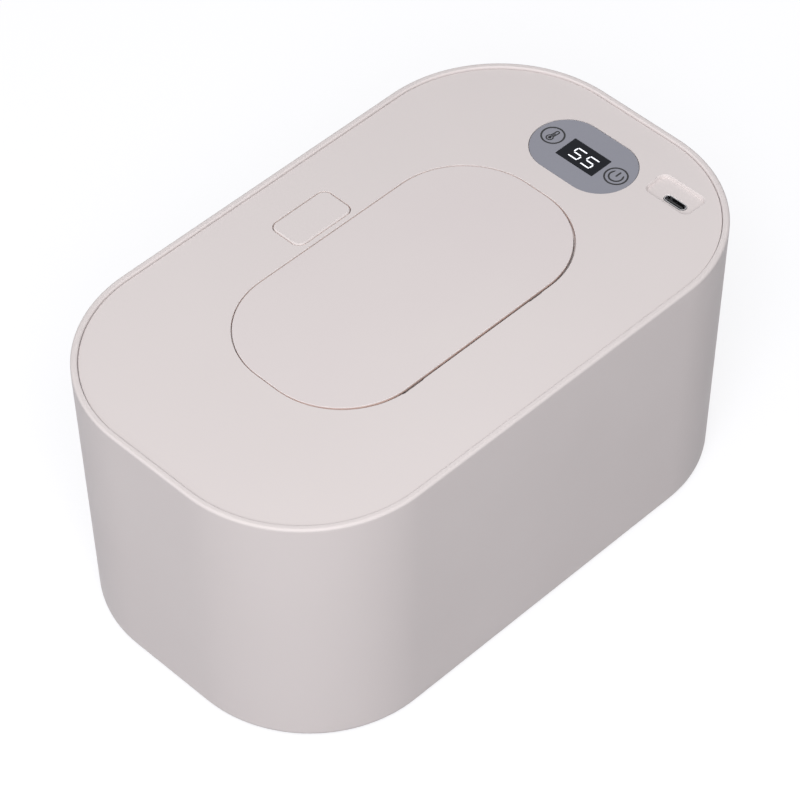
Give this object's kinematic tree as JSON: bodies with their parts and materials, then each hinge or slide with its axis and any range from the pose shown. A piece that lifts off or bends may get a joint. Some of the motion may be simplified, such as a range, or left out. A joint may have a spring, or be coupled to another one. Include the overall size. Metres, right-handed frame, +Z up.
{
  "type": "baby wipe warmer",
  "caption": "Soft-cornered box that warms baby wipes, with a lift-off heated cover, sprung flip lid, push button, touch panel with display, and a charging port.",
  "frame": {"origin": "on the table, under the middle of the case", "axes": "+X along the case to the touch panel's end, +Y across it to the push button's side with the lid's hinge at -Y, +Z up"},
  "size_m": [0.216, 0.13, 0.1005],
  "materials": {
    "shell_plastic": "fine satin moulded plastic, warm white",
    "liner_plastic": "moulded plastic, light grey",
    "panel_plastic": "satin touch panel, mid grey",
    "window_plastic": "dark display window",
    "latch_plastic": "slippery black plastic",
    "black_plastic": "black plastic",
    "silicone": "soft translucent white silicone",
    "rubber": "dark grey rubber",
    "foam": "closed-cell foam sheet",
    "steel": "plain steel",
    "aluminium": "plain sheet",
    "heater_film": "amber film with foil tracks",
    "board": "green circuit board",
    "lead_red": "red insulation"
  },
  "bodies": {
    "case": {"outer_case": "shell_plastic", "base_plate": "shell_plastic", "foot_1": "rubber", "foot_2": "rubber", "foot_3": "rubber", "foot_4": "rubber", "base_screw_1": "steel", "base_screw_2": "steel", "base_screw_3": "steel", "base_screw_4": "steel", "inner_tub": "liner_plastic", "insulation_wrap": "foam"},
    "cover": {"top_cover": "shell_plastic", "cover_liner": "liner_plastic", "cover_seal": "silicone", "dispensing_gate": "silicone", "gate_frame": "liner_plastic", "heating_film": "heater_film", "heater_plate": "aluminium", "temperature_sensor": "black_plastic", "thermal_fuse": "steel", "heater_lead_red": "lead_red", "heater_lead_black": "black_plastic", "hinge_pin": "steel", "control_board": "board", "display_module": "black_plastic", "control_panel": "panel_plastic", "display_window": "window_plastic", "usb_port": "steel", "usb_tongue": "black_plastic", "button_spring": "steel", "latch_spring_left": "steel", "latch_spring_right": "steel", "lid_spring": "steel", "touch_spring_power": "steel", "touch_spring_heat": "steel", "cover_screw_1": "steel", "cover_screw_2": "steel", "cover_screw_3": "steel", "cover_screw_4": "steel", "cover_screw_5": "steel", "cover_screw_6": "steel", "board_screw_1": "steel", "board_screw_2": "steel", "heater_screw_1": "steel", "heater_screw_2": "steel", "heater_screw_3": "steel", "heater_screw_4": "steel"},
    "lid": {"flip_lid": "shell_plastic", "lid_gasket": "silicone"},
    "button": {"push_button": "shell_plastic"},
    "latch": {"latch_slider": "latch_plastic"}
  },
  "joints": [
    {"name": "cover_lift", "type": "slide", "parent": "case", "child": "cover", "axis": [0, 0, 1], "range_m": [0, 0.045]},
    {"name": "lid_hinge", "type": "hinge", "parent": "cover", "child": "lid", "pos_m": [0, -0.03662, 0.0965], "axis": [1, 0, 0], "range_deg": [0, 100]},
    {"name": "button_press", "type": "slide", "parent": "cover", "child": "button", "axis": [0, 0, -1], "range_m": [0, 0.0018], "stiffness_N_per_m": 400, "springref_m": -0.0005, "deforming": ["button_spring"]},
    {"name": "latch_slide", "type": "slide", "parent": "cover", "child": "latch", "axis": [0, 1, 0], "range_m": [0, 0.0018], "deforming": ["latch_spring_left", "latch_spring_right"]}
  ],
  "couplings": [
    {"joint": "latch_slide", "follows": "button_press", "ratio": 1}
  ]
}
